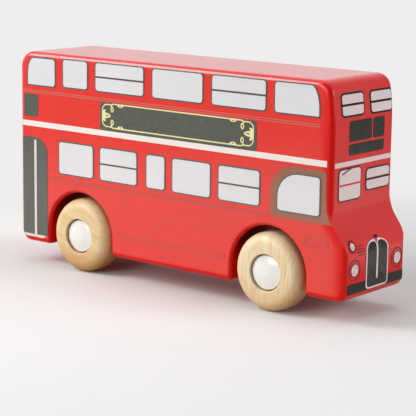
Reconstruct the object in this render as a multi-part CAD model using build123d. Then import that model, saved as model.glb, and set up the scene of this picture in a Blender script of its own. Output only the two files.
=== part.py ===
from build123d import *
import os
from math import radians, tan

# Wooden toy double-decker bus, in millimetres: one painted block with printed artwork,
# on four turned wheels held by pegs. +X is the front, -Y the driver's side and +Z up.
# The wheels stand on Z = 0, and the origin is below the middle of the bus.

# The block
body_length = 110.2
body_width = 26.5
ground_clearance = 5.6
nose_reach = 4.6
edge_radius = 1.5

# Heights of the printed zones, stacked from the block's foot to its roof
lower_panel_height = 20.37
lower_window_height = 9.33
lower_cornice_height = 2.95
band_height = 1.5
upper_panel_height = 10.02
upper_window_height = 8.05
roof_margin = 0.98

# Outline of the block from the side
blank_nose_height = 16.0
blank_nose_slope = 48.0
blank_nose_radius = 8.0
nose_height = 13.2
nose_slope = 54.0
nose_top_radius = 7.0
nose_root_radius = 6.0
brow_drop = 9.5
brow_lean = 6.5
brow_bend_radius = 20.0
roof_front_radius = 3.8
roof_rear_radius = 4.4
tail_radius = 3.0
chin_radius = 2.8

# Wheels turned from solid wood
wheel_diameter = 20.0
wheel_width = 7.0
wheel_proud = 1.5
wheel_round = 2.8
wheel_back_chamfer = 1.2
recess_radius = 4.7
recess_depth = 2.6
recess_lip = 0.3
wheel_end_play = 0.4

# Arches: the wheels stand a little forward of their middle
arch_clearance = 0.6
arch_lip = 1.0
rear_axle_from_tail = 23.7
front_axle_from_face = 18.3
rear_arch_shift = 1.0
front_arch_shift = 0.5

# Pegs that the wheels turn on
peg_radius = 2.0
peg_running_clearance = 0.08
peg_head_radius = 4.3
peg_head_sunk = 0.8
peg_head_rim = 1.4
peg_dome = 0.6
peg_tip_chamfer = 0.5
peg_hole_spare = 0.4
peg_web = 1.0

# Printed artwork, laid in passes of ink on top of each other
ink = 0.08
rim_width = 0.38
bar_width = 0.48
window_corner = 1.2

# Upper windows: relative width, barred, rear and front top corners as (width, height) where they are swept
upper_windows = [
    (10.97, False, (2.6, 4.9), 0),
    (9.56, False, 0, 0),
    (17.58, True, 0, 0),
    (17.38, False, 0, 0),
    (17.48, True, 0, 0),
    (13.88, False, 0, (2.9, 6.2)),
]
upper_rear_margin = 3.03
upper_pillar = 2.46
upper_front_pillar = 2.16
upper_front_margin = 3.72
upper_rear_drop = 0.3

# Lower windows: relative width, relative width of the pillar ahead of each, barred
lower_windows = [
    (13.24, 2.06, False),
    (13.64, 2.86, True),
    (6.84, 2.06, False),
    (13.14, 2.16, False),
    (13.54, 3.03, True),
]

# Rear door
door_inset = 1.0
door_width = 9.6
door_foot = 1.5
door_head_corner = (5.2, 4.4)
door_foot_radius = 2.2
door_post_from_rear = 4.6
door_post_width = 0.9
door_sill_height = 0.75
door_gap = 4.28

# Driver's cab window in its brown frame
cab_width = 16.7
cab_front_margin = 1.48
cab_foot_margin = 1.3
cab_frame_above = 2.02
cab_frame_below = 1.65
cab_frame_corner = 7.0
cab_rear_post = 2.03
cab_front_post = 1.45
cab_pane_above = 0.55
cab_pane_below = 0.2
cab_pane_corner = (6.5, 6.2)

# Advert board with its scroll border, and the route box
board_from_tail = 30.4
board_to_face = 22.7
board_height = 7.55
board_gap = 0.0
board_corner = 1.0
scroll_line = 0.32
scroll_lift = 0.35
scroll_half_height = 3.2
scroll_bracket_inset = 0.95
scroll_bracket_drop = 0.25
scroll_bracket_radius = 1.6
scroll_bracket_reach = 4.2
scroll_hook_place = 4.9
scroll_hook_radius = 0.8
scroll_loop_place = 4.42
scroll_loop_drop = 1.45
scroll_loop = (0.56, 0.8)
scroll_loop_eye = (0.22, 0.44)
scroll_knot_place = 7.35
scroll_knot = (1.15, 0.75)
scroll_knot_eye = (0.4, 0.13)
scroll_leaf = (2.95, 0.82)
scroll_leaf_slit = (0.75, 0.14)
scroll_leaf_slit_place = 1.7
scroll_lobe = (0.62, 0.36)
scroll_lobe_place = (1.6, 1.15)
scroll_lobe_tilt = 35
route_box_width = 5.4
route_box_height = 6.2
route_box_from_tail = 1.7
route_box_lift = 1.2
box_corner = 0.65

# Fine lines on the side panels
belt_line = 0.24
belt_line_gap = 0.52
upper_belt_drop = 1.65
lower_belt_drop = 1.4
skirt_box_lift = 5.7
skirt_box_height = 1.2
skirt_box_rear_margin = 1.6
skirt_box_front_margin = 0.8
side_plate_width = 6.8
side_plate_height = 2.3
side_plate_lift = 12.7
side_plate_from_face = 0.5

# Front windows
front_near_margin = 3.47
front_far_margin = 0.9
front_pillar = 2.45
front_window_height = 5.9
front_far_drop = 0.15
front_rim_width = 0.48
front_window_corner = 1.3
front_bar_width = 0.58
windscreen_near_margin = 2.6
windscreen_width = 9.78
windscreen_height = 8.2
windscreen_drop = 0.72
windscreen_bar = 0.48
co_window_pillar = 1.95
co_window_far_margin = 1.5
co_window_height = 5.75
co_window_drop = 1.7
wiper_width = 0.35
wiper_span = 4.7
wiper_drop = 1.4
wiper_inset = 1.4
front_band_height = 1.18
front_band_drop = 0.33
end_band_margin = 1.2

# Blank destination boxes on the front
blind_near_margin = 6.85
blind_far_margin = 4.5
blind_lift = 0.65
blind_foot_height = 2.7
blind_gap = 0.62
blind_height = 5.05
route_blind_width = 4.9

# Radiator, bumper and bonnet: the nose's prints stand a little beside its middle
nose_print_shift = 0.36
radiator_width = 9.6
radiator_lift = 2.1
radiator_height = 12.0
radiator_shoulder = (4.0, 2.5)
radiator_foot_radius = 1.3
radiator_line = 0.5
radiator_post = 0.8
radiator_notch_width = 1.3
radiator_notch_depth = 1.3
radiator_panel_corner = 0.9
plate_height = 1.7
bumper_margin = 0.75
bumper_lift = 1.9
bumper_height = 2.6
bumper_corner = 0.5
cap_width = 1.9
cap_height = 0.75
cap_gap = 0.1
cap_beside = 0.5
hatch_width = 2.85
hatch_line = 0.22
hatch_pitch = 0.72
hatch_lines = 4
hatch_from_near = 5.11
hatch_lift = 11.1

# Lamps: side, distance from that side, height above the foot, radius of the lens, rim and ring
lamps = [
    (-1, 3.91, 7.8, 1.45, 1.68, 2.58),
    (1, 3.94, 8.0, 1.45, 1.68, 2.58),
    (-1, 3.36, 13.55, 0.88, 0.98, 1.5),
]
lamp_ring = 0.28

# Rear windows
rear_margin = 2.6
rear_pillar = 2.2
rear_window_height = 5.75
rear_lower_margin = 6.25
rear_lower_height = 6.2

# Levels and stations that follow from the sizes above
square = (0, 0, 0, 0)
side_y = body_width / 2
tail_x = -body_length / 2
nose_x = body_length / 2
face_x = nose_x - nose_reach
deck_length = face_x - tail_x
board_length = deck_length - board_from_tail - board_to_face
lower_sill = ground_clearance + lower_panel_height
lower_head = lower_sill + lower_window_height
band_bottom = lower_head + lower_cornice_height
band_top = band_bottom + band_height
upper_sill = band_top + upper_panel_height
upper_head = upper_sill + upper_window_height
roof_level = upper_head + roof_margin
door_front_x = tail_x + door_inset + door_width
cab_front_x = face_x - cab_front_margin
cab_rear_x = cab_front_x - cab_width
wheel_radius = wheel_diameter / 2
arch_depth = wheel_width - wheel_proud + wheel_end_play
peg_hole_depth = side_y - arch_depth - peg_web / 2
axles = {"rear": tail_x + rear_axle_from_tail, "front": face_x - front_axle_from_face}
arch_radius = wheel_radius + max(rear_arch_shift, front_arch_shift) + arch_clearance
arches = [axles["rear"] - rear_arch_shift, axles["front"] - front_arch_shift]


def fillet_at(sketch, corners):
    """Round the vertices of a flat outline that lie nearest to each (x, z, radius)."""
    for x, z, radius in corners:
        vertex = sketch.vertices().sort_by_distance((x, z, 0))[0]
        sketch = fillet(vertex, radius)
    return sketch


def side_outline(nose_height, nose_slope, nose_top_radius):
    """The block's outline from the side: nose, raked brow and rounded roof ends."""
    nose_top = ground_clearance + nose_height
    root_z = nose_top + nose_reach * tan(radians(nose_slope))
    brow_z = roof_level - brow_drop
    brow_x = face_x - brow_drop * tan(radians(brow_lean))
    outline = Polygon(
        (tail_x, ground_clearance),
        (nose_x, ground_clearance),
        (nose_x, nose_top),
        (face_x, root_z),
        (face_x, brow_z),
        (brow_x, roof_level),
        (tail_x, roof_level),
        align=None,
    )
    return fillet_at(outline, [
        (tail_x, ground_clearance, tail_radius),
        (nose_x, ground_clearance, chin_radius),
        (nose_x, nose_top, nose_top_radius),
        (face_x, root_z, nose_root_radius),
        (face_x, brow_z, brow_bend_radius),
        (brow_x, roof_level, roof_front_radius),
        (tail_x, roof_level, roof_rear_radius),
    ])


def rounded_block(grow):
    """The block without its arches, grown by a thickness of ink: rounded first, then its bonnet cut lower."""
    half_width = side_y + grow
    blank, finished = [offset(outline, grow) if grow > 0 else outline
                       for outline in (blank_outline, cut_outline)]
    block = extrude(Plane.XZ * blank, half_width, both=True)
    rims = block.edges().filter_by_position(Axis.Y, half_width - 0.001, half_width + 0.001)
    rims += block.edges().filter_by_position(Axis.Y, -half_width - 0.001, -half_width + 0.001)
    return fillet(rims, edge_radius + grow) & extrude(Plane.XZ * finished, body_width, both=True)


def make_body(block):
    """The painted block with four arches, their eased lips and blind holes for the pegs."""
    pockets = []
    for x in arches:
        shape = Pos(x, wheel_radius) * Circle(arch_radius)
        shape += Pos(x, wheel_radius / 2) * Rectangle(2 * arch_radius, wheel_radius)
        pocket = extrude(Plane.XZ.offset(side_y - arch_depth) * shape, 2 * arch_depth)
        pockets += [pocket, mirror(pocket, Plane.XZ)]
    body = block - pockets
    lips = []
    for edge in body.edges():
        middle = edge @ 0.5
        on_side = abs(abs(middle.Y) - side_y) < 0.001
        near_arch = any(abs(middle.X - x) < arch_radius + 0.001 for x in arches)
        low = ground_clearance + edge_radius - 0.001 < middle.Z < wheel_radius + arch_radius + 0.001
        if on_side and near_arch and low:
            lips.append(edge)
    body = fillet(lips, arch_lip)
    for x in axles.values():
        mouth = Plane.XZ.offset(side_y - arch_depth) * (Pos(x, wheel_radius) * Circle(peg_radius))
        hole = extrude(mouth, -peg_hole_depth)
        body = body - hole - mirror(hole, Plane.XZ)
    return body


def make_wheel(x, side):
    """Turned wheel with a rounded rim, a recess for the peg's head and a running bore."""
    bore = peg_radius + peg_running_clearance
    section = Pos((bore + wheel_radius) / 2, -wheel_width / 2) * Rectangle(
        wheel_radius - bore, wheel_width)
    section -= Pos((bore + recess_radius) / 2, -recess_depth / 2) * Rectangle(
        recess_radius - bore, recess_depth)
    section = fillet_at(section, [
        (wheel_radius, 0, wheel_round),
        (recess_radius, 0, recess_lip),
    ])
    back = section.vertices().sort_by_distance((wheel_radius, -wheel_width, 0))[0]
    section = chamfer(back, wheel_back_chamfer)
    wheel = revolve(Plane.XZ * section, Axis.Z)
    return Pos(x, side * (side_y + wheel_proud), wheel_radius) * Rot(-90 * side, 0, 0) * wheel


def make_peg(x, side):
    """Peg with a domed head sunk in the wheel's recess and a shank pressed into the block."""
    head_under = peg_head_sunk + peg_head_rim
    shank_end = wheel_width + wheel_end_play + peg_hole_depth - peg_hole_spare
    dome_radius = (peg_head_radius ** 2 + peg_dome ** 2) / (2 * peg_dome)
    shank = Pos(peg_radius / 2, -(head_under + shank_end) / 2) * Rectangle(
        peg_radius, shank_end - head_under)
    tip = shank.vertices().sort_by_distance((peg_radius, -shank_end, 0))[0]
    shank = chamfer(tip, peg_tip_chamfer)
    head = Pos(peg_head_radius / 2, -(peg_head_sunk + head_under) / 2) * Rectangle(
        peg_head_radius, peg_head_rim)
    dome = Pos(0, peg_dome - peg_head_sunk - dome_radius) * Circle(dome_radius)
    dome &= Pos(peg_head_radius / 2, peg_dome / 2 - peg_head_sunk) * Rectangle(peg_head_radius, peg_dome)
    peg = revolve(Plane.XZ * (shank + head + dome), Axis.Z)
    return Pos(x, side * (side_y + wheel_proud), wheel_radius) * Rot(-90 * side, 0, 0) * peg


def every(radius):
    """The same radius for all four corners of a panel."""
    return (radius, radius, radius, radius)


def panel(left, bottom, width, height, corners):
    """Flat panel; corners run from the lower left one anticlockwise, each a radius or (width, height)."""
    shape = Pos(left + width / 2, bottom + height / 2) * Rectangle(width, height)
    places = [(left, bottom, 1, 1), (left + width, bottom, -1, 1),
              (left + width, bottom + height, -1, -1), (left, bottom + height, 1, -1)]
    for (x, z, to_x, to_z), corner in zip(places, corners):
        wide, high = corner if isinstance(corner, tuple) else (corner, corner)
        if wide > 0:
            patch = Pos(x + to_x * wide / 2, z + to_z * high / 2) * Rectangle(wide, high)
            curve = Circle(wide) if wide == high else Ellipse(wide, high)
            shape -= patch - Pos(x + to_x * wide, z + to_z * high) * curve
    return shape


def inset_panel(left, bottom, width, height, corners, rim):
    """The same panel drawn smaller all round by the width of its rim."""
    smaller = []
    for corner in corners:
        wide, high = corner if isinstance(corner, tuple) else (corner, corner)
        smaller.append((max(wide - rim, 0), max(high - rim, 0)))
    return panel(left + rim, bottom + rim, width - 2 * rim, height - 2 * rim, smaller)


def window(left, bottom, width, height, corners, bar=0.0, rim=rim_width):
    """Dark plate and pale pane of one window; a bar splits the pane at half height."""
    plate = panel(left, bottom, width, height, corners)
    pane = inset_panel(left, bottom, width, height, corners, rim)
    if bar > 0:
        pane -= Pos(left + width / 2, bottom + height / 2) * Rectangle(width, bar)
    return plate, pane


def side_windows():
    """Both rows of windows on one side, as plates and panes."""
    windows = []
    pillars = [upper_pillar] * (len(upper_windows) - 2) + [upper_front_pillar, 0]
    room = deck_length - upper_rear_margin - upper_front_margin - sum(pillars)
    unit = room / sum(row[0] for row in upper_windows)
    x = tail_x + upper_rear_margin
    for index, (width, barred, rear_corner, front_corner) in enumerate(upper_windows):
        sill = upper_sill if index > 0 else upper_sill - upper_rear_drop
        corners = [0 if rear_corner else window_corner, 0 if front_corner else window_corner,
                   front_corner or window_corner, rear_corner or window_corner]
        windows.append(window(x, sill, width * unit, upper_window_height, corners,
                              bar_width if barred else 0))
        x += width * unit + pillars[index]
    x = door_front_x + door_gap
    unit = (cab_rear_x - x) / sum(width + pillar for width, pillar, _ in lower_windows)
    for width, pillar, barred in lower_windows:
        windows.append(window(x, lower_sill, width * unit, lower_window_height, every(window_corner),
                              bar_width if barred else 0))
        x += (width + pillar) * unit
    return [plate for plate, _ in windows], [pane for _, pane in windows]


def cab_window():
    """Brown frame that follows the nose's root, with the cab's plate and pane."""
    bottom = lower_sill - cab_frame_below
    height = lower_window_height + cab_frame_below + cab_frame_above
    frame = panel(cab_rear_x, bottom, cab_width, height, (window_corner, 0, window_corner, cab_frame_corner))
    foot = panel(cab_front_x, bottom, nose_reach, height / 2, square)
    frame += foot & offset(blank_outline, -cab_foot_margin)
    width = cab_width - cab_rear_post - cab_front_post
    corners = (window_corner, window_corner, window_corner, cab_pane_corner)
    plate, pane = window(cab_rear_x + cab_rear_post, lower_sill - cab_pane_below, width,
                         lower_window_height + cab_pane_below + cab_pane_above, corners)
    return frame, plate, pane


def door():
    """Dark door panel with its pale post and sill."""
    bottom = ground_clearance + door_foot
    height = lower_head - bottom
    rear_x = tail_x + door_inset
    shape = panel(rear_x, bottom, door_width, height, (window_corner, door_foot_radius, door_head_corner, 0))
    post_x = rear_x + door_post_from_rear
    post = panel(post_x, bottom, door_post_width, height - door_sill_height, square)
    sill = panel(rear_x, bottom, door_width, door_sill_height, square)
    return shape, (post + sill) & shape


def scroll_border():
    """Gold border of the advert board: two lines with knots, and a bracket, loops and leaf at each end."""
    top = scroll_half_height
    bracket_z = top - scroll_bracket_drop
    corner_x = scroll_bracket_inset + scroll_bracket_radius
    corner_z = bracket_z - scroll_bracket_radius
    strokes = [
        Line((scroll_bracket_reach, bracket_z), (corner_x, bracket_z)),
        CenterArc((corner_x, corner_z), scroll_bracket_radius, 90, 90),
        Line((scroll_bracket_inset, corner_z), (scroll_bracket_inset, 0)),
        CenterArc((scroll_hook_place, top - scroll_hook_radius), scroll_hook_radius, 90, 90),
        Line((scroll_hook_place, top), (board_length / 2, top)),
    ]
    quarter = Sketch() + [trace(stroke, scroll_line) for stroke in strokes]
    quarter += Pos(scroll_loop_place, top - scroll_loop_drop) * Ellipse(*scroll_loop)
    quarter -= Pos(scroll_loop_place, top - scroll_loop_drop) * Ellipse(*scroll_loop_eye)
    knot_width, knot_height = scroll_knot
    below = Pos(0, -knot_height / 2) * Rectangle(2 * knot_width, knot_height)
    quarter += Pos(scroll_knot_place, top) * (Ellipse(knot_width, knot_height) & below)
    quarter -= Pos(scroll_knot_place, top - knot_height / 2) * Ellipse(*scroll_knot_eye)
    quarter += Pos(*scroll_lobe_place) * Rot(0, 0, scroll_lobe_tilt) * Ellipse(*scroll_lobe)
    leaf_width, leaf_height = scroll_leaf
    ahead = Pos(leaf_width / 2, 0) * Rectangle(leaf_width, 2 * leaf_height)
    leaf = Ellipse(leaf_width, leaf_height) & ahead
    leaf -= Pos(scroll_leaf_slit_place, 0) * Ellipse(*scroll_leaf_slit)
    half = quarter + mirror(quarter, Plane.XZ) + Pos(scroll_bracket_inset, 0) * leaf
    middle = band_top + board_gap + board_height / 2 + scroll_lift
    left = Pos(tail_x + board_from_tail, middle) * half
    return left + mirror(left, Plane.YZ.offset(tail_x + board_from_tail + board_length / 2))


def outlined(shape, line):
    """A thin line that follows a flat shape's outline on its inside."""
    return shape - offset(shape, -line)


def belt_lines():
    """Fine lines on a side: two pairs below the windows, the skirt box and a blank plate."""
    lines = Sketch()
    spans = [
        (tail_x + edge_radius, face_x - upper_front_margin, upper_sill - upper_belt_drop),
        (door_front_x + belt_line_gap, cab_rear_x - belt_line_gap, lower_sill - lower_belt_drop),
    ]
    for start, end, level in spans:
        for z in (level, level - belt_line_gap):
            lines += panel(start, z, end - start, belt_line, square)
    start = arches[0] + arch_radius + arch_lip + skirt_box_rear_margin
    end = arches[1] - arch_radius - arch_lip - skirt_box_front_margin
    box = panel(start, ground_clearance + skirt_box_lift, end - start, skirt_box_height, every(belt_line))
    plate = panel(face_x - side_plate_from_face - side_plate_width, ground_clearance + side_plate_lift,
                  side_plate_width, side_plate_height, every(box_corner))
    return lines + outlined(box, belt_line) + outlined(plate, belt_line)


def front_windows():
    """Plates and panes of the two upper front windows, the windscreen and its neighbour."""
    corners = every(front_window_corner)
    near = front_near_margin - side_y
    width = (body_width - front_near_margin - front_far_margin - front_pillar) / 2
    windows = [window(near + shift, upper_sill - drop, width, front_window_height, corners,
                      front_bar_width, front_rim_width)
               for shift, drop in ((0, 0), (width + front_pillar, front_far_drop))]
    near = windscreen_near_margin - side_y
    bottom = band_bottom - windscreen_drop - windscreen_height
    bar = Pos(near + windscreen_width / 2, bottom + windscreen_height / 2) * Rectangle(
        windscreen_width, windscreen_bar)
    windows.append([shape - bar for shape in
                    window(near, bottom, windscreen_width, windscreen_height, corners)])
    near += windscreen_width + co_window_pillar
    width = side_y - co_window_far_margin - near
    bottom = band_bottom - co_window_drop - co_window_height
    windows.append(window(near, bottom, width, co_window_height, corners, front_bar_width))
    return [plate for plate, _ in windows], [pane for _, pane in windows]


def wiper():
    """The wiper's line, from the windscreen's top rim down towards its near edge."""
    top = band_bottom - windscreen_drop
    foot_y = windscreen_near_margin + wiper_inset - side_y
    return trace(Line((foot_y, top - wiper_drop), (foot_y + wiper_span, top)), wiper_width)


def blinds():
    """Three blank destination boxes."""
    near = blind_near_margin - side_y
    width = body_width - blind_near_margin - blind_far_margin
    bottom = band_top + blind_lift
    upper = bottom + blind_foot_height + blind_gap
    main_width = width - route_blind_width - blind_gap
    return [
        panel(near, bottom, width, blind_foot_height, every(box_corner)),
        panel(near, upper, main_width, blind_height, every(box_corner)),
        panel(near + main_width + blind_gap, upper, route_blind_width, blind_height, every(box_corner)),
    ]


def radiator():
    """Pale shell with a notched top, its two dark panels and the blank plate at its foot."""
    bottom = ground_clearance + radiator_lift
    top = bottom + radiator_height
    corners = (radiator_foot_radius, radiator_foot_radius, radiator_shoulder, radiator_shoulder)
    shell = panel(-radiator_width / 2, bottom, radiator_width, radiator_height, corners)
    shell -= Polygon((-radiator_notch_width / 2, top), (0, top - radiator_notch_depth),
                     (radiator_notch_width / 2, top), align=None)
    plate_width = radiator_width - 2 * radiator_line
    foot_radius = radiator_foot_radius - radiator_line
    plate = panel(-plate_width / 2, bottom + radiator_line, plate_width, plate_height,
                  (foot_radius, foot_radius, 0, 0))
    panel_bottom = bottom + radiator_line + plate_height
    panel_width = (plate_width - radiator_post) / 2
    shoulder_width, shoulder_height = radiator_shoulder
    shoulder = (shoulder_width - radiator_line - radiator_panel_corner, shoulder_height - radiator_line)
    slats = panel(-plate_width / 2, panel_bottom, panel_width, top - radiator_line - panel_bottom,
                  (0, 0, radiator_panel_corner, shoulder))
    return [Pos(nose_print_shift, 0) * shape for shape in (shell, slats, mirror(slats, Plane.YZ), plate)]


def bumper():
    """Dark bumper that runs behind the radiator's foot."""
    width = body_width - 2 * bumper_margin
    return panel(nose_print_shift - width / 2, ground_clearance + bumper_lift, width, bumper_height,
                 every(bumper_corner))


def bonnet_marks():
    """Filler cap a little beside the radiator's top, and the hatch's fine lines beside it."""
    cap_z = ground_clearance + radiator_lift + radiator_height + cap_gap + cap_height / 2
    cap = Pos(nose_print_shift + cap_beside, cap_z) * Ellipse(cap_width / 2, cap_height / 2)
    lines = [panel(hatch_from_near - side_y, ground_clearance + hatch_lift + i * hatch_pitch,
                   hatch_width, hatch_line, square) for i in range(hatch_lines)]
    return cap, lines


def lamp_prints():
    """Fine outer rings, dark rims and pale lenses of the lamps."""
    rings, rims, lenses = [], [], []
    for side, from_side, height, lens, rim, ring in lamps:
        place = Pos(side * (side_y - from_side), ground_clearance + height)
        rings.append(place * (Circle(ring) - Circle(ring - lamp_ring)))
        rims.append(place * Circle(rim))
        lenses.append(place * Circle(lens))
    return rings, rims, lenses


def rear_windows():
    """Plates and panes of the two upper rear windows and the lower one."""
    corners = every(front_window_corner)
    width = (body_width - 2 * rear_margin - rear_pillar) / 2
    windows = [window(y, upper_sill, width, rear_window_height, corners, front_bar_width)
               for y in (rear_margin - side_y, rear_pillar / 2)]
    windows.append(window(rear_lower_margin - side_y, lower_head - rear_lower_height,
                          body_width - 2 * rear_lower_margin, rear_lower_height, corners))
    return [plate for plate, _ in windows], [pane for _, pane in windows]


def print_on_sides(name, shapes, level=0):
    """The same print on both sides: flat shapes cut from one pass of ink, one node a side."""
    plane = Plane.XZ.offset(side_y / 2)
    films = [extrude(plane * shape, side_y) & passes[level] for shape in shapes]
    films = [solid for film in films for solid in film.solids()]
    add_node(f"{name}_right", films)
    add_node(f"{name}_left", [mirror(film, Plane.XZ) for film in films])


def print_on_end(name, shapes, front=True, level=0):
    """A print on the front or rear, cut from one pass of ink."""
    start = face_x - edge_radius if front else tail_x - body_width
    films = [extrude(Plane.YZ.offset(start) * shape, body_width + edge_radius) & passes[level]
             for shape in shapes]
    add_node(name, [solid for film in films for solid in film.solids()])


def add_node(name, solids):
    """Keep solids as one node, together with those that it already has."""
    parts.setdefault(name, []).extend(solids)


blank_outline = side_outline(blank_nose_height, blank_nose_slope, blank_nose_radius)
cut_outline = side_outline(nose_height, nose_slope, nose_top_radius)
block = rounded_block(0)
grown = [block] + [rounded_block(ink * (level + 1)) for level in range(3)]
passes = [outer - inner for inner, outer in zip(grown, grown[1:])]
parts = {}

add_node("body_block", make_body(block).solids())
for end, x in axles.items():
    for name, side in (("right", -1), ("left", 1)):
        add_node(f"wheel_{end}_{name}", make_wheel(x, side).solids())
        add_node(f"peg_{end}_{name}", make_peg(x, side).solids())

plates, panes = side_windows()
cab_frame, cab_plate, cab_pane = cab_window()
door_panel, door_rails = door()
board = panel(tail_x + board_from_tail, band_top + board_gap, board_length, board_height, every(board_corner))
route_box = panel(tail_x + route_box_from_tail, band_top + route_box_lift, route_box_width,
                  route_box_height, every(box_corner))
side_band = panel(tail_x + door_inset, band_bottom, cab_front_x - tail_x - door_inset, band_height, square)
print_on_sides("window_rims", plates)
print_on_sides("window_panes", panes, level=1)
print_on_sides("cab_frame", [cab_frame])
print_on_sides("window_rims", [cab_plate], level=1)
print_on_sides("window_panes", [cab_pane], level=2)
print_on_sides("door_panel", [door_panel])
print_on_sides("door_rails", [door_rails], level=1)
print_on_sides("band", [side_band])
print_on_sides("board", [board])
print_on_sides("board_scroll", [scroll_border()], level=1)
print_on_sides("route_box", [route_box])
print_on_sides("belt_lines", [belt_lines()])

plates, panes = front_windows()
shell, near_slats, far_slats, plate = radiator()
cap, hatch = bonnet_marks()
rings, rims, lenses = lamp_prints()
end_band = panel(end_band_margin - side_y, band_bottom - front_band_drop, body_width - 2 * end_band_margin,
                 front_band_height, square)
print_on_end("front_rims", plates)
print_on_end("front_panes", panes, level=1)
print_on_end("wiper", [wiper()], level=2)
print_on_end("front_band", [end_band])
print_on_end("front_blinds", blinds())
print_on_end("bumper", [bumper()])
print_on_end("radiator_shell", [shell], level=1)
print_on_end("radiator_panels", [near_slats, far_slats], level=2)
print_on_end("front_plate", [plate], level=2)
print_on_end("filler_cap", [cap])
print_on_end("bonnet_hatch", hatch)
print_on_end("lamp_rings", rings)
print_on_end("lamp_rims", rims)
print_on_end("lamp_lenses", lenses, level=1)

plates, panes = rear_windows()
print_on_end("rear_rims", plates, front=False)
print_on_end("rear_panes", panes, front=False, level=1)
print_on_end("rear_band", [end_band], front=False)

os.makedirs("parts", exist_ok=True)
for name, solids in parts.items():
    export_step(Compound(children=solids) if len(solids) > 1 else solids[0], f"parts/{name}.step")
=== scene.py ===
from math import cos, radians, sin

import bpy
from bpy.props import FloatProperty, FloatVectorProperty, PointerProperty
from mathutils import Matrix, Vector


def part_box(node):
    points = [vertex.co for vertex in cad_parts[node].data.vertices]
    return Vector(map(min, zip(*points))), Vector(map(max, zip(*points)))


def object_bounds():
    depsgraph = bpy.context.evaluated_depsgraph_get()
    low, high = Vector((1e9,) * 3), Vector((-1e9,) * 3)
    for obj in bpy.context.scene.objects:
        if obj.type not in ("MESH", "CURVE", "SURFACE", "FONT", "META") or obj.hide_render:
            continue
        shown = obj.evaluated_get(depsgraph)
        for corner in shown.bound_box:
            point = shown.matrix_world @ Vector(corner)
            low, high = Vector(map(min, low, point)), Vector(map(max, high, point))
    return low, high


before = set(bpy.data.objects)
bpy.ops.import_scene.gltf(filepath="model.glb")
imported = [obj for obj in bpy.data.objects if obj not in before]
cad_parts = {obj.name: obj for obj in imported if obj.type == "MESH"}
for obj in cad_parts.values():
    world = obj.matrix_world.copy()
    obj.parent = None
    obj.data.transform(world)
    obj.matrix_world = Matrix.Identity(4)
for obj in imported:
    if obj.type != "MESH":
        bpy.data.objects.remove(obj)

bl_info = {
    "name": "Wooden Double-Decker Bus",
    "version": (1, 0, 0),
    "blender": (4, 5, 0),
    "location": "View3D > Sidebar > Bus",
    "description": "Paints and prints a wooden toy bus and stands it on a pale studio floor",
    "category": "Object",
}

BOX_AT_LOAD = [list(corner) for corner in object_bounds()]

# Where the nose's slope starts and ends in height, and how far the nose reaches ahead
NOSE_TOP = 0.0188
NOSE_ROOT = 0.0251
NOSE_REACH = 0.0046

# Heights of the windows' bars on the sides and on the front, and half a bar's height
SIDE_BARS = (0.03064, 0.05380)
FRONT_BARS = (0.03368, 0.05265)
BAR_HALF = 0.0003

# Each wheel's own piece of beech: its grain's turn in degrees, its warmth from pale to tan, and how strongly
# shade is painted low on it
BEECH = [
    ("wheel_rear_right", -28, 0.78, 0.85),
    ("wheel_front_right", 86, 0.28, 0.40),
    ("wheel_rear_left", 40, 0.50, 0.45),
    ("wheel_front_left", 120, 0.60, 0.45),
]

# Streaks of the beech: stretch along, across and through the grain, detail and distortion
WOOD_BANDS = ((60, 200, 520), 3, 0.5)
WOOD_STREAKS = ((240, 900, 2900), 3, 0.2)
WOOD_FLECKS = ((1300, 1300, 6500), 2, 0.0)

# Where each tone of the block begins and where it is whole: in metres, or as a share of the unit normal
ZONES = {
    "side_normal": (0.86, 0.99),
    "side_depth": (0.0115, 0.0129),
    "side_inset": (0.0013, 0.0048),
    "side_foot": (0.0067, 0.0074),
    "front_normal": (0.45, 0.08),
    "front_reach": (0.0455, 0.0475),
    "front_foot": (0.0068, 0.0078),
    "nose_low": (0.0172, 0.0108),
    "top_normal": (0.05, 0.35),
    "top_reach": (0.0494, 0.0448),
    "rear_normal": (-0.90, -0.99),
    # The arch zones bound the painted shade inside the wheel arches; it fades out low on their walls.
    "arch_radius": (0.0134, 0.0127),
    "arch_depth": (0.0129, 0.0116),
    "arch_height": (0.0095, 0.0170),
    "rim_wear": (0.0084, 0.0101),
    # Painted shade: each wheel darkens from its middle down towards the floor.
    "bottom_shade": (0.0090, 0.0010),
}

# Share of clear lacquer on the prints: the front's are duller than the sides', the bumper's dullest.
# The block's own front and rear keep this share of its gloss.
SIDE_COAT = 0.8
FRONT_COAT = 0.25
BUMPER_COAT = 0.1
END_GLOSS = 0.3

# Texture of painted wood: stretch of the grain's streaks, and features per metre of the rest
GRAIN_STRETCH = (95, 1700, 1700)
CLOUDS = 70
PEEL = 1500
SPECKS = 2600
INK_ROUGHNESS = (0.31, 0.41)
INK_SPECULAR = 0.25
RELIEF_DEPTH = 0.0004

# Half the height over which one tone of ink gives way to another
TONE_STEP = 0.0002

# Directions from the bus to the pale backdrop and to the bright wall that its gloss mirrors
BACKDROP_WAY = (-0.1, 0.95, 0.2)
WALL_WAY = (-0.9, 0.26, 0.35)

# Distances at which the floor starts and ends its fade, as the camera sees it and as the light does
FLOOR_SEEN = (0.07, 0.18)
FLOOR_LIT = (0.12, 0.32)
FLOOR_BOUNCE = (0.55, 0.48, 0.40)

# Softboxes: name, place, width, height and the setting that holds the power
SOFTBOXES = [
    ("key_softbox", (-0.37, -0.30, 0.36), 0.30, 0.30, "key_power"),
    ("side_softbox", (-0.10, -0.62, 0.20), 0.45, 0.35, "side_power"),
    ("top_softbox", (0.0, 0.05, 0.60), 0.50, 0.35, "top_power"),
    ("front_softbox", (0.60, 0.20, 0.25), 0.30, 0.30, "front_power"),
]
AIM = (0, 0, 0.03)
SENSOR_WIDTH = 36


def srgb(red, green, blue):
    """A colour as read on screen, from 0 to 255, turned into Blender's linear values."""
    def linear(value):
        value /= 255
        return value / 12.92 if value <= 0.04045 else ((value + 0.055) / 1.055) ** 2.4
    return (linear(red), linear(green), linear(blue))


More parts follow.
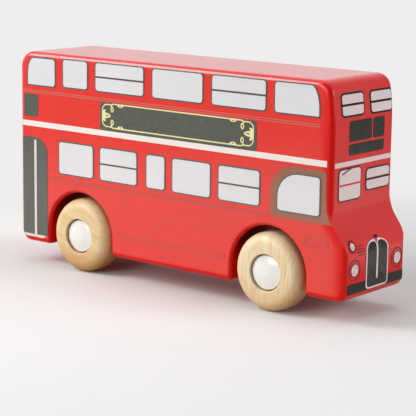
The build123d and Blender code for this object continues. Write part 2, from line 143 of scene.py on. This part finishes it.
def colour_of(name, description, default):
    """A colour setting with its default."""
    return FloatVectorProperty(name=name, description=description, default=default,
                               subtype="COLOR", size=3, min=0, max=1)


class PaintColours(bpy.types.PropertyGroup):
    face_red: colour_of("Face red", "Red of the flat printed faces", srgb(226, 50, 41))
    edge_red: colour_of("Edge red", "Deeper red of the painted edges", srgb(218, 10, 7))
    # Painted shade: a dull dark red stands in for the shadow inside the wheel arches.
    arch_shade_red: colour_of("Arch red", "Dull red inside the wheel arches", srgb(112, 10, 10))
    front_red: colour_of("Front red", "Red of the front and the bonnet", srgb(227, 64, 62))
    nose_red: colour_of("Nose red", "Deeper red low on the nose", srgb(218, 22, 14))
    pane: colour_of("Pane", "Pale grey of the side windows", srgb(222, 223, 226))
    # Painted light: the front windows' pale grey ink carries a pink cast that stands in for the light falling
    # on the front.
    front_pane_pink_cast: colour_of("Front pane", "Pinkish grey of the front windows", srgb(236, 220, 222))
    cream: colour_of("Cream", "Band on the sides and the rear", srgb(240, 233, 228))
    rail: colour_of("Rail", "Post and sill of the rear door", srgb(216, 213, 208))
    # Painted light: the front's cream ink carries the same painted pink cast of the light on the front.
    front_cream_pink_cast: colour_of("Front cream", "Band, radiator shell and lamp lenses", srgb(238, 220, 224))
    rim: colour_of("Rim", "Rims of the side windows", srgb(86, 92, 88))
    bar: colour_of("Bar", "Bars of the side windows", srgb(86, 77, 71))
    front_bar: colour_of("Front bar", "Bars of the front windows", srgb(58, 40, 38))
    board: colour_of("Board", "Advert board, route box and door", srgb(84, 88, 80))
    front_dark: colour_of("Front dark", "Rims and radiator of the front", srgb(48, 50, 48))
    plate: colour_of("Plate", "Blank plate at the radiator's foot", srgb(38, 35, 32))
    blind: colour_of("Blind", "Blank blinds' boxes on the front", srgb(60, 62, 57))
    slat_foot: colour_of("Slat foot", "Near black at the radiator's foot", srgb(22, 18, 16))
    lens_pink: colour_of("Lens pink", "Faint facets printed on the lamps' lenses", srgb(208, 150, 150))
    bumper: colour_of("Bumper", "Bumper across the nose", srgb(24, 18, 14))
    slat_light: colour_of("Slat light", "Faint slanted streaks on the radiator", srgb(88, 92, 86))
    brown: colour_of("Cab brown", "Frame of the driver's window", srgb(152, 97, 72))
    gold: colour_of("Gold", "Scroll border of the board", srgb(240, 230, 170))
    belt_line: colour_of("Belt line", "Fine lines on the side panels", srgb(186, 76, 60))
    upper_line: colour_of("Upper line", "Fine lines above the band", srgb(200, 112, 98))
    wiper: colour_of("Wiper", "Fine line of the wiper", srgb(150, 80, 72))
    lamp_ring: colour_of("Lamp ring", "Fine outer rings of the lamps", srgb(122, 34, 32))
    lamp_rim: colour_of("Lamp rim", "Rims around the lamps' lenses", srgb(70, 52, 50))
    hatch_line: colour_of("Hatch line", "Fine lines on the bonnet", srgb(142, 44, 42))


class WoodFinish(bpy.types.PropertyGroup):
    light: colour_of("Early wood", "Palest tone of the bare wheels", srgb(239, 223, 188))
    middle: colour_of("Body tone", "Main tone of the bare wheels", srgb(224, 194, 142))
    dark: colour_of("Late wood", "Darkest streaks of the bare wheels", srgb(198, 156, 102))
    # This brown paints the burnished rims and also the painted shade low on each wheel.
    burnish_and_shade_brown: colour_of("Burnished rim", "Warm brown of the wheels' worn rims", srgb(196, 142, 82))
    silver: colour_of("Silver", "Pearl paint on the pegs' heads", srgb(236, 238, 236))
    roughness: FloatProperty(name="Roughness", description="Roughness of the bare wood",
                             default=0.42, min=0, max=1, subtype="FACTOR")


class StudioSetup(bpy.types.PropertyGroup):
    azimuth: FloatProperty(name="Azimuth", description="Camera's turn from the driver's side to the front",
                           default=radians(39.163), subtype="ANGLE")
    elevation: FloatProperty(name="Elevation", description="Camera's height as an angle",
                             default=radians(11.047), subtype="ANGLE")
    roll: FloatProperty(name="Roll", description="Camera's turn about its own line of sight",
                        default=radians(0.780), subtype="ANGLE")
    distance: FloatProperty(name="Distance", description="From the camera to the point that it looks at",
                            default=0.42247, min=0.1, subtype="DISTANCE", unit="LENGTH")
    lens: FloatProperty(name="Lens", description="Focal length on a 36 mm sensor",
                        default=137.714, min=20, subtype="DISTANCE_CAMERA")
    target: FloatVectorProperty(name="Target", description="Point that the camera looks at",
                                default=(0.00106, 0.00102, 0.01997), size=3, subtype="XYZ", unit="LENGTH")
    backdrop: FloatProperty(name="Backdrop", description="Brightness of the backdrop behind the bus",
                            default=0.855, min=0, max=1, subtype="FACTOR")
    floor_tone: FloatProperty(name="Floor tone", description="Reflectance of the floor",
                              default=0.80, min=0, max=1, subtype="FACTOR")
    key_power: FloatProperty(name="Key light", description="Power of the raised softbox on the left",
                             default=2.4, min=0, unit="POWER")
    side_power: FloatProperty(name="Side light", description="Power of the softbox that faces the side",
                              default=1.9, min=0, unit="POWER")
    top_power: FloatProperty(name="Top light", description="Power of the softbox above the roof",
                             default=0.8, min=0, unit="POWER")
    front_power: FloatProperty(name="Front light", description="Power of the softbox ahead of the bus",
                               default=1.95, min=0, unit="POWER")
    ambient: FloatProperty(name="Ambient", description="Soft light from all round",
                           default=0.25, min=0, max=1, subtype="FACTOR")
    sheen: FloatProperty(name="Sheen", description="Brightness of the bright wall that the gloss mirrors",
                         default=1.06, min=0)


def add(tree, kind, inputs=None, **settings):
    """A shader node with its settings; an input given as a socket is linked."""
    node = tree.nodes.new(kind)
    for name, value in settings.items():
        setattr(node, name, value)
    for name, value in (inputs or {}).items():
        if isinstance(value, bpy.types.NodeSocket):
            tree.links.new(value, node.inputs[name])
        else:
            node.inputs[name].default_value = value
    return node


def math(tree, operation, *values):
    """The result of one Math node."""
    node = add(tree, "ShaderNodeMath", operation=operation)
    for socket, value in zip(node.inputs, values):
        if isinstance(value, bpy.types.NodeSocket):
            tree.links.new(value, socket)
        else:
            socket.default_value = value
    return node.outputs[0]


def product(tree, first, *others):
    """Values multiplied together."""
    for value in others:
        first = math(tree, "MULTIPLY", first, value)
    return first


def fade(tree, value, start, end, low=0.0, high=1.0):
    """A value spread smoothly from low to high between start and end."""
    node = add(tree, "ShaderNodeMapRange", {"Value": value, "From Min": start, "From Max": end,
                                            "To Min": low, "To Max": high},
               interpolation_type="SMOOTHSTEP")
    return node.outputs["Result"]


def zone(tree, name, value, high=1.0):
    """How far a value lies inside one of the zones."""
    return fade(tree, value, *ZONES[name], 0.0, high)


def mix(tree, factor, first, second, blend="MIX"):
    """One colour blended with another."""
    node = add(tree, "ShaderNodeMix", data_type="RGBA", blend_type=blend)
    for socket, value in zip((node.inputs[0], node.inputs[6], node.inputs[7]), (factor, first, second)):
        if isinstance(value, bpy.types.NodeSocket):
            tree.links.new(value, socket)
        elif isinstance(value, (int, float)):
            socket.default_value = value
        else:
            socket.default_value = (*value, 1)
    return node.outputs[2]


def noise(tree, scale, detail, stretch=(1, 1, 1), turn=(0, 0, 0), distortion=0.0):
    """Noise on Object coordinates; its scale counts features per metre along each stretched axis."""
    place = add(tree, "ShaderNodeTexCoord").outputs["Object"]
    turned = add(tree, "ShaderNodeMapping", {"Vector": place, "Rotation": turn})
    scaled = add(tree, "ShaderNodeMapping", {"Vector": turned.outputs[0], "Scale": stretch})
    return add(tree, "ShaderNodeTexNoise", {"Vector": scaled.outputs[0], "Scale": scale, "Detail": detail,
                                            "Distortion": distortion}).outputs["Fac"]


def position(tree):
    """A point's X, Y and Z on the bus."""
    place = add(tree, "ShaderNodeTexCoord").outputs["Object"]
    return add(tree, "ShaderNodeSeparateXYZ", {"Vector": place}).outputs


def new_material(name):
    """A material with a bare Principled shader."""
    material = bpy.data.materials.new(name)
    material.use_nodes = True
    tree = material.node_tree
    shader = next(node for node in tree.nodes if node.type == "BSDF_PRINCIPLED")
    return material, tree, shader


def lacquered(name, colour, coat=SIDE_COAT, grain=0.012, mottle=0.02, speckle=0.01, relief=0.015,
              coat_roughness=0.12):
    """Paint or ink on wood under clear lacquer; the grain shows faintly through, along the bus.

    The colour may be a function of the node tree, which gives the colour and the gloss's share or None.
    """
    material, tree, shader = new_material(name)
    shader.inputs["Coat Weight"].default_value = coat
    if callable(colour):
        colour, gloss = colour(tree)
        if gloss is not None:
            tree.links.new(math(tree, "MULTIPLY", gloss, coat), shader.inputs["Coat Weight"])
    streaks = noise(tree, 1, 3, stretch=GRAIN_STRETCH, distortion=0.4)
    clouds = noise(tree, CLOUDS, 2)
    peel = noise(tree, PEEL, 2)
    specks = noise(tree, SPECKS, 1)
    tone = math(tree, "ADD", fade(tree, streaks, 0.3, 0.7, 1 - grain, 1 + grain),
                fade(tree, clouds, 0.3, 0.7, -mottle, mottle))
    tone = math(tree, "ADD", tone, fade(tree, specks, 0.3, 0.7, -speckle, speckle))
    tint = add(tree, "ShaderNodeCombineColor", {"Red": tone, "Green": tone, "Blue": tone})
    painted = mix(tree, 1.0, colour, tint.outputs[0], "MULTIPLY")
    height = math(tree, "ADD", math(tree, "MULTIPLY", streaks, 0.6), math(tree, "MULTIPLY", peel, 0.4))
    bump = add(tree, "ShaderNodeBump", {"Height": height, "Strength": relief, "Distance": RELIEF_DEPTH})
    tree.links.new(painted, shader.inputs["Base Color"])
    tree.links.new(fade(tree, peel, 0.25, 0.75, *INK_ROUGHNESS), shader.inputs["Roughness"])
    tree.links.new(bump.outputs[0], shader.inputs["Normal"])
    shader.inputs["Coat Roughness"].default_value = coat_roughness
    shader.inputs["Specular IOR Level"].default_value = INK_SPECULAR
    return material


def far_from(tree, centre):
    """Distance from a wheel's axle, which runs across the bus."""
    place = add(tree, "ShaderNodeTexCoord").outputs["Object"]
    moved = add(tree, "ShaderNodeVectorMath", {0: place, 1: centre}, operation="SUBTRACT")
    flat = add(tree, "ShaderNodeVectorMath", {0: moved.outputs[0], 1: (1, 0, 1)}, operation="MULTIPLY")
    return add(tree, "ShaderNodeVectorMath", {0: flat.outputs[0]}, operation="LENGTH").outputs["Value"]


def middle_of(node):
    """Middle of a CAD node's box at rest."""
    low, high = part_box(node)
    return tuple((Vector(low) + Vector(high)) / 2)


def block_red(colours):
    """Red of the block: softer on the printed faces, deeper on the painted edges, and a dull red of painted
    shade in the arches.
    """
    def build(tree):
        facing = add(tree, "ShaderNodeTexCoord").outputs["Normal"]
        normal = add(tree, "ShaderNodeSeparateXYZ", {"Vector": facing}).outputs
        place = position(tree)
        sideways = math(tree, "ABSOLUTE", normal["Y"])
        depth = math(tree, "ABSOLUTE", place["Y"])
        nose_x = BOX_AT_LOAD[1][0]
        front_x = add(tree, "ShaderNodeMapRange",
                      {"Value": place["Z"], "From Min": NOSE_TOP, "From Max": NOSE_ROOT,
                       "To Min": nose_x, "To Max": nose_x - NOSE_REACH}).outputs["Result"]
        inward = math(tree, "SUBTRACT", front_x, place["X"])
        on_side = product(tree, zone(tree, "side_normal", sideways), zone(tree, "side_depth", depth),
                          zone(tree, "side_inset", inward), zone(tree, "side_foot", place["Z"]))
        on_front = product(tree, zone(tree, "front_normal", sideways),
                           zone(tree, "front_reach", place["X"]), zone(tree, "front_foot", place["Z"]))
        on_top = product(tree, zone(tree, "top_normal", normal["Z"]), zone(tree, "top_reach", place["X"]))
        on_rear = zone(tree, "rear_normal", normal["X"])
        on_end = math(tree, "MAXIMUM", on_front, on_rear)
        nose_low = product(tree, on_front, zone(tree, "nose_low", place["Z"]))
        near = math(tree, "MINIMUM", far_from(tree, middle_of("wheel_rear_right")),
                    far_from(tree, middle_of("wheel_front_right")))
        # Painted shade inside the wheel arches: whole high up, fading out low on the walls where light from
        # the floor reaches.
        painted_arch_shade = product(tree, zone(tree, "arch_radius", near), zone(tree, "arch_depth", depth),
                          zone(tree, "arch_height", place["Z"]))
        end_red = mix(tree, nose_low, tuple(colours.front_red), tuple(colours.nose_red))
        red = mix(tree, on_side, tuple(colours.edge_red), tuple(colours.face_red))
        red = mix(tree, on_end, red, end_red)
        red = mix(tree, painted_arch_shade, red, tuple(colours.arch_shade_red))
        end_gloss = product(tree, math(tree, "SUBTRACT", on_end, nose_low), END_GLOSS)
        return red, math(tree, "MAXIMUM", math(tree, "MAXIMUM", on_side, on_top), end_gloss)
    return build


def barred(rim, bar, heights):
    """Dark rims whose bars, at these heights, are a warmer brown."""
    def build(tree):
        level = position(tree)["Z"]
        apart = [math(tree, "ABSOLUTE", math(tree, "SUBTRACT", level, height)) for height in heights]
        on_bar = fade(tree, math(tree, "MINIMUM", *apart), 1.6 * BAR_HALF, BAR_HALF)
        return mix(tree, on_bar, tuple(rim), tuple(bar)), None
    return build


def radiator_slats(colours):
    """Dark slats with faint slanted streaks, near black towards their foot."""
    def build(tree):
        slant = noise(tree, 1, 2, stretch=(400, 1900, 300), turn=(radians(-30), 0, 0), distortion=0.5)
        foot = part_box("radiator_panels")[0][2]
        shade = fade(tree, position(tree)["Z"], foot, middle_of("radiator_panels")[2])
        dark = mix(tree, shade, tuple(colours.slat_foot), tuple(colours.front_dark))
        lit = fade(tree, slant, 0.46, 0.72, 0.0, 0.6)
        return mix(tree, lit, dark, tuple(colours.slat_light)), None
    return build


def lamp_glass(colours):
    """Printed lens in the front's cream, which carries its painted pink cast, with faint pink facets."""
    def build(tree):
        facets = fade(tree, noise(tree, 1300, 1), 0.42, 0.62, 0.0, 0.45)
        return mix(tree, facets, tuple(colours.front_cream_pink_cast), tuple(colours.lens_pink)), None
    return build


def two_tones(lower, upper, height):
    """One tone of ink below a height and another above it."""
    def build(tree):
        above = fade(tree, position(tree)["Z"], height - TONE_STEP, height + TONE_STEP)
        return mix(tree, above, tuple(lower), tuple(upper)), None
    return build


def bare_wood(name, finish, wheel, turn, warmth, low_shade, seed):
    """Beech: fine pale and dark streaks along the grain, short flecks, a rim burnished by turning, and
    painted shade towards the bottom.
    """
    material, tree, shader = new_material(name)
    place = add(tree, "ShaderNodeTexCoord").outputs["Object"]
    shifted = add(tree, "ShaderNodeMapping", {"Vector": place, "Location": seed})
    turned = add(tree, "ShaderNodeMapping", {"Vector": shifted.outputs[0], "Rotation": (0, turn, 0)})

    def layer(stretch, detail, distortion):
        scaled = add(tree, "ShaderNodeMapping", {"Vector": turned.outputs[0], "Scale": stretch})
        return add(tree, "ShaderNodeTexNoise", {"Vector": scaled.outputs[0], "Scale": 1, "Detail": detail,
                                                "Distortion": distortion}).outputs["Fac"]

    bands = layer(*WOOD_BANDS)
    streaks = layer(*WOOD_STREAKS)
    flecks = layer(*WOOD_FLECKS)
    tone = mix(tree, fade(tree, bands, 0.30, 0.70, warmth - 0.25, warmth + 0.25), tuple(finish.light),
               tuple(finish.middle))
    tone = mix(tree, fade(tree, streaks, 0.46, 0.80, 0, 0.65), tone, tuple(finish.dark))
    tone = mix(tree, fade(tree, flecks, 0.58, 0.76, 0, 0.40), tone, tuple(finish.dark))
    # Burnish at the rim, plus painted shade that darkens each wheel towards the floor.
    rim_burnish_and_low_shade = math(tree, "ADD", zone(tree, "rim_wear", far_from(tree, middle_of(wheel)), 0.20),
                zone(tree, "bottom_shade", position(tree)["Z"], low_shade))
    tone = mix(tree, rim_burnish_and_low_shade, tone, tuple(finish.burnish_and_shade_brown))
    height = math(tree, "SUBTRACT", math(tree, "MULTIPLY", streaks, 0.5), math(tree, "MULTIPLY", flecks, 0.5))
    bump = add(tree, "ShaderNodeBump", {"Height": height, "Strength": 0.10, "Distance": RELIEF_DEPTH})
    tree.links.new(tone, shader.inputs["Base Color"])
    tree.links.new(fade(tree, streaks, 0.3, 0.7, finish.roughness - 0.06, finish.roughness + 0.08),
                   shader.inputs["Roughness"])
    tree.links.new(bump.outputs[0], shader.inputs["Normal"])
    shader.inputs["Subsurface Weight"].default_value = 0.04
    shader.inputs["Subsurface Scale"].default_value = 0.001
    return material


def silver_paint(name, finish):
    """Pearl white paint, very faintly mottled under its gloss."""
    material, tree, shader = new_material(name)
    clouds = noise(tree, 300, 2)
    specks = noise(tree, 4200, 2)
    tone = add(tree, "ShaderNodeCombineColor")
    level = math(tree, "ADD", fade(tree, clouds, 0.3, 0.7, 0.985, 1.01),
                 fade(tree, specks, 0.4, 0.7, 0, 0.01))
    for socket in tone.inputs[:3]:
        tree.links.new(level, socket)
    painted = mix(tree, 1.0, tuple(finish.silver), tone.outputs[0], "MULTIPLY")
    bump = add(tree, "ShaderNodeBump", {"Height": clouds, "Strength": 0.03, "Distance": 0.0003})
    tree.links.new(painted, shader.inputs["Base Color"])
    tree.links.new(fade(tree, specks, 0.3, 0.7, 0.24, 0.30), shader.inputs["Roughness"])
    tree.links.new(bump.outputs[0], shader.inputs["Normal"])
    shader.inputs["Coat Weight"].default_value = 1.0
    shader.inputs["Coat Roughness"].default_value = 0.06
    return material


def finish_nodes(material, *names):
    """Give CAD nodes a finish by their names or the starts of their names."""
    found = [node for name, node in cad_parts.items()
             if any(name == wanted or name.startswith(wanted + "_") for wanted in names)]
    if not found:
        raise RuntimeError(f"no node is named like {names}")
    for node in found:
        for slot in node.material_slots:
            slot.material = material


class BUS_OT_paint_block(bpy.types.Operator):
    """Paint the solid block red"""
    bl_idname = "bus.paint_block"
    bl_label = "Paint the block"

    def execute(self, context):
        colours = context.scene.bus_colours
        paint = lacquered("red_painted_wood", block_red(colours), grain=0.02, mottle=0.025, relief=0.02,
                          coat_roughness=0.10)
        finish_nodes(paint, "body_block")
        return {"FINISHED"}


class BUS_OT_turn_wheels(bpy.types.Operator):
    """Give each wheel its own piece of beech"""
    bl_idname = "bus.turn_wheels"
    bl_label = "Finish the wheels"

    def execute(self, context):
        finish = context.scene.bus_wood
        for index, (wheel, turn, warmth, low_shade) in enumerate(BEECH):
            seed = (0.013 * index, 0.021 * index, 0.034 * index)
            wood = bare_wood(f"turned_wood_{index + 1}", finish, wheel, radians(turn), warmth, low_shade, seed)
            finish_nodes(wood, wheel)
        finish_nodes(silver_paint("silver_painted_wood", finish), "peg")
        return {"FINISHED"}


class BUS_OT_print_windows(bpy.types.Operator):
    """Print the windows, their rims and the cab's frame"""
    bl_idname = "bus.print_windows"
    bl_label = "Print the windows"

    def execute(self, context):
        colours = context.scene.bus_colours
        finish_nodes(lacquered("pane_print", tuple(colours.pane)), "window_panes", "rear_panes")
        # The front's pane ink: pale grey with a painted pink cast of the light on the front.
        finish_nodes(lacquered("front_pane_print", tuple(colours.front_pane_pink_cast), FRONT_COAT), "front_panes")
        side_rims = barred(colours.rim, colours.bar, SIDE_BARS)
        finish_nodes(lacquered("rim_print", side_rims), "window_rims", "rear_rims")
        front_rims = barred(colours.front_dark, colours.front_bar, FRONT_BARS)
        finish_nodes(lacquered("front_rim_print", front_rims, FRONT_COAT), "front_rims")
        finish_nodes(lacquered("wiper_print", tuple(colours.wiper), FRONT_COAT), "wiper")
        finish_nodes(lacquered("brown_print", tuple(colours.brown), mottle=0.05), "cab_frame")
        return {"FINISHED"}


class BUS_OT_print_boards(bpy.types.Operator):
    """Print the blank boards and boxes, and the gold scroll border"""
    bl_idname = "bus.print_boards"
    bl_label = "Print the boards"

    def execute(self, context):
        colours = context.scene.bus_colours
        finish_nodes(lacquered("board_print", tuple(colours.board), mottle=0.05, speckle=0.13),
                     "board_right", "board_left", "route_box")
        finish_nodes(lacquered("blind_print", tuple(colours.blind), FRONT_COAT, mottle=0.06, speckle=0.25),
                     "front_blinds")
        finish_nodes(lacquered("plate_print", tuple(colours.plate), FRONT_COAT, speckle=0.15), "front_plate")
        finish_nodes(lacquered("gold_print", tuple(colours.gold)), "board_scroll")
        return {"FINISHED"}


class BUS_OT_print_trim(bpy.types.Operator):
    """Print the band, door, fine lines, radiator, bumper and lamps"""
    bl_idname = "bus.print_trim"
    bl_label = "Print the trim"

    def execute(self, context):
        colours = context.scene.bus_colours
        finish_nodes(lacquered("cream_print", tuple(colours.cream)), "band", "rear_band")
        finish_nodes(lacquered("rail_print", tuple(colours.rail)), "door_rails")
        # The front's cream ink: cream with a painted pink cast of the light on the front.
        finish_nodes(lacquered("front_cream_print", tuple(colours.front_cream_pink_cast), FRONT_COAT),
                     "front_band", "radiator_shell")
        finish_nodes(lacquered("lens_print", lamp_glass(colours), FRONT_COAT), "lamp_lenses")
        finish_nodes(lacquered("door_print", tuple(colours.board), mottle=0.04, speckle=0.08), "door_panel")
        finish_nodes(lacquered("slat_print", radiator_slats(colours), FRONT_COAT), "radiator_panels")
        finish_nodes(lacquered("bumper_print", tuple(colours.bumper), BUMPER_COAT), "bumper")
        finish_nodes(lacquered("cap_print", tuple(colours.front_dark), FRONT_COAT), "filler_cap")
        belt_lines = two_tones(colours.belt_line, colours.upper_line, middle_of("band_right")[2])
        finish_nodes(lacquered("belt_line_print", belt_lines), "belt_lines")
        finish_nodes(lacquered("lamp_ring_print", tuple(colours.lamp_ring), FRONT_COAT), "lamp_rings")
        lamp_rims = two_tones(colours.lamp_rim, colours.lamp_ring, middle_of("lamp_rims")[2])
        finish_nodes(lacquered("lamp_rim_print", lamp_rims, FRONT_COAT), "lamp_rims")
        finish_nodes(lacquered("hatch_line_print", tuple(colours.hatch_line), FRONT_COAT), "bonnet_hatch")
        return {"FINISHED"}


def studio_world(setup):
    """Even pale backdrop for the camera, and a bright wall on the left that the gloss mirrors."""
    world = bpy.data.worlds.new("studio")
    bpy.context.scene.world = world
    world.use_nodes = True
    tree = world.node_tree
    output = next(node for node in tree.nodes if node.type == "OUTPUT_WORLD")
    background = next(node for node in tree.nodes if node.type == "BACKGROUND")
    direction = add(tree, "ShaderNodeTexCoord").outputs["Generated"]
    behind = add(tree, "ShaderNodeVectorMath", {0: direction, 1: BACKDROP_WAY}, operation="DOT_PRODUCT")
    beside = add(tree, "ShaderNodeVectorMath", {0: direction, 1: WALL_WAY}, operation="DOT_PRODUCT")
    rays = add(tree, "ShaderNodeLightPath")
    glow = fade(tree, behind.outputs["Value"], -0.25, 0.6, 0.5 * setup.ambient, 1.9 * setup.ambient)
    wall = fade(tree, beside.outputs["Value"], 0.2, 0.7, 0.25 * setup.ambient, setup.sheen)
    level = add(tree, "ShaderNodeMix", {0: rays.outputs["Is Glossy Ray"], 2: glow, 3: wall})
    light = add(tree, "ShaderNodeBackground", {"Strength": level.outputs[0]})
    background.inputs["Color"].default_value = (setup.backdrop,) * 3 + (1,)
    seen = add(tree, "ShaderNodeMixShader", {0: rays.outputs["Is Camera Ray"],
                                             1: light.outputs[0], 2: background.outputs[0]})
    tree.links.new(seen.outputs[0], output.inputs["Surface"])


def studio_floor(setup):
    """Pale floor that fades into the backdrop away from the bus."""
    bpy.ops.object.select_all(action="DESELECT")
    bpy.ops.mesh.primitive_plane_add(size=4)
    floor = bpy.context.object
    floor.name = "studio_floor"
    material, tree, shader = new_material("studio_floor")
    shader.inputs["Roughness"].default_value = 0.9
    shader.inputs["Specular IOR Level"].default_value = 0.1
    tone = fade(tree, noise(tree, 12, 2), 0.3, 0.7, setup.floor_tone - 0.004, setup.floor_tone + 0.004)
    seen = add(tree, "ShaderNodeCombineColor", {"Red": tone, "Green": tone, "Blue": tone})
    rays = add(tree, "ShaderNodeLightPath")
    colour = mix(tree, rays.outputs["Is Diffuse Ray"], seen.outputs[0], FLOOR_BOUNCE)
    tree.links.new(colour, shader.inputs["Base Color"])
    place = add(tree, "ShaderNodeTexCoord").outputs["Object"]
    away = add(tree, "ShaderNodeVectorMath", {0: place}, operation="LENGTH")
    edge = add(tree, "ShaderNodeMix", {0: rays.outputs["Is Camera Ray"],
                                       2: fade(tree, away.outputs["Value"], *FLOOR_LIT),
                                       3: fade(tree, away.outputs["Value"], *FLOOR_SEEN)})
    clear = add(tree, "ShaderNodeBsdfTransparent")
    output = next(node for node in tree.nodes if node.type == "OUTPUT_MATERIAL")
    faded = add(tree, "ShaderNodeMixShader", {0: edge.outputs[0], 1: shader.outputs[0], 2: clear.outputs[0]})
    tree.links.new(faded.outputs[0], output.inputs["Surface"])
    floor.data.materials.append(material)


def softbox(name, place, width, height, power):
    """A rectangular light that faces the middle of the bus."""
    light = bpy.data.lights.new(name, "AREA")
    light.shape = "RECTANGLE"
    light.size = width
    light.size_y = height
    light.energy = power
    lamp = bpy.data.objects.new(name, light)
    lamp.location = place
    lamp.rotation_euler = (Vector(place) - Vector(AIM)).to_track_quat("Z", "Y").to_euler()
    bpy.context.scene.collection.objects.link(lamp)


def studio_camera(setup):
    """Camera at the measured angle, distance and roll."""
    away = Vector((sin(setup.azimuth) * cos(setup.elevation),
                   -cos(setup.azimuth) * cos(setup.elevation), sin(setup.elevation)))
    across = Vector((0, 0, 1)).cross(away).normalized()
    turned = Matrix.Rotation(setup.roll, 3, away) @ Matrix((across, away.cross(across), away)).transposed()
    data = bpy.data.cameras.new("camera")
    data.sensor_width = SENSOR_WIDTH
    data.lens = setup.lens
    data.clip_start = 0.01
    camera = bpy.data.objects.new("camera", data)
    camera.matrix_world = Matrix.Translation(Vector(setup.target) + setup.distance * away) @ turned.to_4x4()
    bpy.context.scene.collection.objects.link(camera)
    bpy.context.scene.camera = camera


class BUS_OT_set_studio(bpy.types.Operator):
    """Set the floor, backdrop, lights and camera"""
    bl_idname = "bus.set_studio"
    bl_label = "Set the studio"

    def execute(self, context):
        setup = context.scene.bus_studio
        studio_world(setup)
        studio_floor(setup)
        for name, place, width, height, power in SOFTBOXES:
            softbox(name, place, width, height, getattr(setup, power))
        studio_camera(setup)
        context.scene.view_settings.view_transform = "Standard"
        return {"FINISHED"}


class BUS_PT_panel(bpy.types.Panel):
    """The steps and settings of the wooden bus"""
    bl_idname = "BUS_PT_panel"
    bl_label = "Wooden bus"
    bl_space_type = "VIEW_3D"
    bl_region_type = "UI"
    bl_category = "Bus"

    def draw(self, context):
        for group in SETTINGS:
            settings = getattr(context.scene, group)
            box = self.layout.box()
            for name in settings.__annotations__:
                box.prop(settings, name)
        for step in STEPS:
            self.layout.operator(step.bl_idname)


SETTINGS = {"bus_colours": PaintColours, "bus_wood": WoodFinish, "bus_studio": StudioSetup}
STEPS = (BUS_OT_paint_block, BUS_OT_turn_wheels, BUS_OT_print_windows, BUS_OT_print_boards,
         BUS_OT_print_trim, BUS_OT_set_studio)


def register():
    for name, group in SETTINGS.items():
        bpy.utils.register_class(group)
        setattr(bpy.types.Scene, name, PointerProperty(type=group))
    for step in STEPS:
        bpy.utils.register_class(step)
    bpy.utils.register_class(BUS_PT_panel)


def unregister():
    bpy.utils.unregister_class(BUS_PT_panel)
    for step in reversed(STEPS):
        bpy.utils.unregister_class(step)
    for name, group in SETTINGS.items():
        delattr(bpy.types.Scene, name)
        bpy.utils.unregister_class(group)


def main():
    register()
    bpy.ops.bus.paint_block()
    bpy.ops.bus.turn_wheels()
    bpy.ops.bus.print_windows()
    bpy.ops.bus.print_boards()
    bpy.ops.bus.print_trim()
    bpy.ops.bus.set_studio()


if __name__ == "__main__":
    main()
